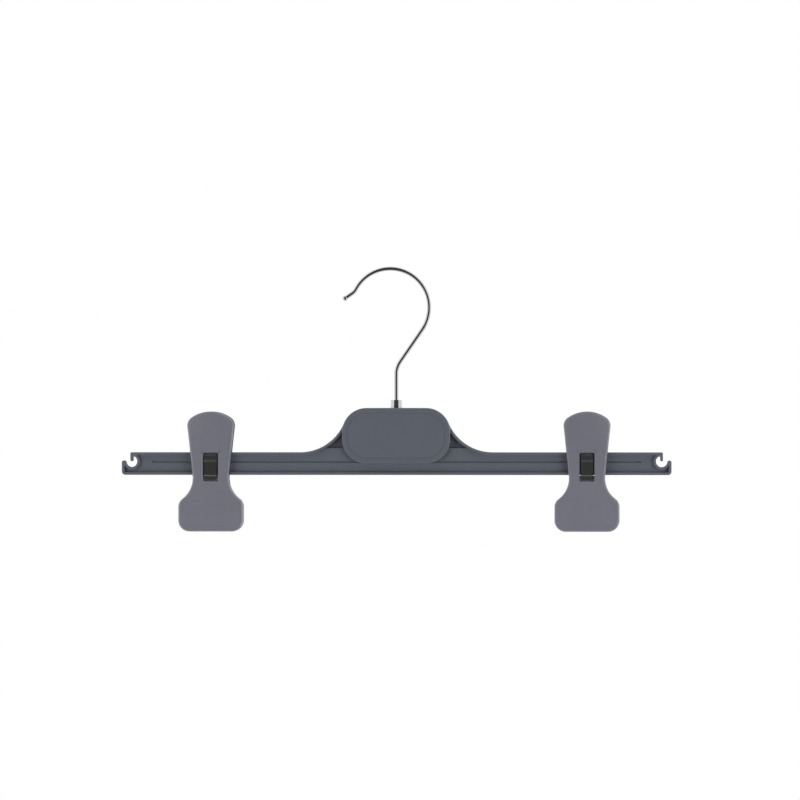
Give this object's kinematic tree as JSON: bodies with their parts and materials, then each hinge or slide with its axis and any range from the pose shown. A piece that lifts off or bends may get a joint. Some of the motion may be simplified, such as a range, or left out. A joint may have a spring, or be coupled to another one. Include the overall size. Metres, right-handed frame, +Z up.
{
  "type": "skirt hanger",
  "caption": "Hanger with a moulded bar, a swivel wire hook and sprung clips that slide along the bar and open when their tabs are squeezed.",
  "frame": {"origin": "underside of the hook's bend straight above its stem, where it rests on a rail", "axes": "+X along the bar, +Y to the back, +Z up"},
  "size_m": [0.4, 0.0224, 0.1927],
  "materials": {
    "body_plastic": "satin grey moulding",
    "clip_plastic": "satin grey moulding",
    "hook_chrome": "polished wire",
    "ferrule_chrome": "turned and polished",
    "spring_steel": "bright strip"
  },
  "bodies": {
    "hook": {"hook": "hook_chrome"},
    "hanger_body": {"hanger_body": "body_plastic", "hook_ferrule": "ferrule_chrome"},
    "left_clip": {"left_spring": "spring_steel"},
    "left_front_half": {"left_front_jaw": "clip_plastic"},
    "left_rear_half": {"left_rear_jaw": "clip_plastic"},
    "right_clip": {"right_spring": "spring_steel"},
    "right_front_half": {"right_front_jaw": "clip_plastic"},
    "right_rear_half": {"right_rear_jaw": "clip_plastic"}
  },
  "joints": [
    {"name": "hook_swivel", "type": "hinge", "parent": "hook", "child": "hanger_body", "pos_m": [0, 0, -0.09942], "axis": [0, 0, 1], "continuous": true},
    {"name": "left_slide", "type": "slide", "parent": "hanger_body", "child": "left_clip", "axis": [1, 0, 0], "range_m": [-0.0314, 0.057]},
    {"name": "left_front_pivot", "type": "hinge", "parent": "left_clip", "child": "left_front_half", "pos_m": [-0.135, 0, -0.12912], "axis": [-1, 0, 0], "range_deg": [0, 11.5], "stiffness_Nm_per_rad": 0.6, "springref_deg": -34.38, "deforming": ["left_spring"]},
    {"name": "left_rear_pivot", "type": "hinge", "parent": "left_clip", "child": "left_rear_half", "pos_m": [-0.135, 0, -0.12912], "axis": [1, 0, 0], "range_deg": [0, 11.5], "stiffness_Nm_per_rad": 0.6, "springref_deg": -34.38},
    {"name": "right_slide", "type": "slide", "parent": "hanger_body", "child": "right_clip", "axis": [1, 0, 0], "range_m": [-0.06065, 0.02775]},
    {"name": "right_front_pivot", "type": "hinge", "parent": "right_clip", "child": "right_front_half", "pos_m": [0.13865, 0, -0.12912], "axis": [-1, 0, 0], "range_deg": [0, 11.5], "stiffness_Nm_per_rad": 0.6, "springref_deg": -34.38, "deforming": ["right_spring"]},
    {"name": "right_rear_pivot", "type": "hinge", "parent": "right_clip", "child": "right_rear_half", "pos_m": [0.13865, 0, -0.12912], "axis": [1, 0, 0], "range_deg": [0, 11.5], "stiffness_Nm_per_rad": 0.6, "springref_deg": -34.38}
  ],
  "couplings": [
    {"joint": "left_rear_pivot", "follows": "left_front_pivot", "ratio": 1},
    {"joint": "right_rear_pivot", "follows": "right_front_pivot", "ratio": 1}
  ]
}
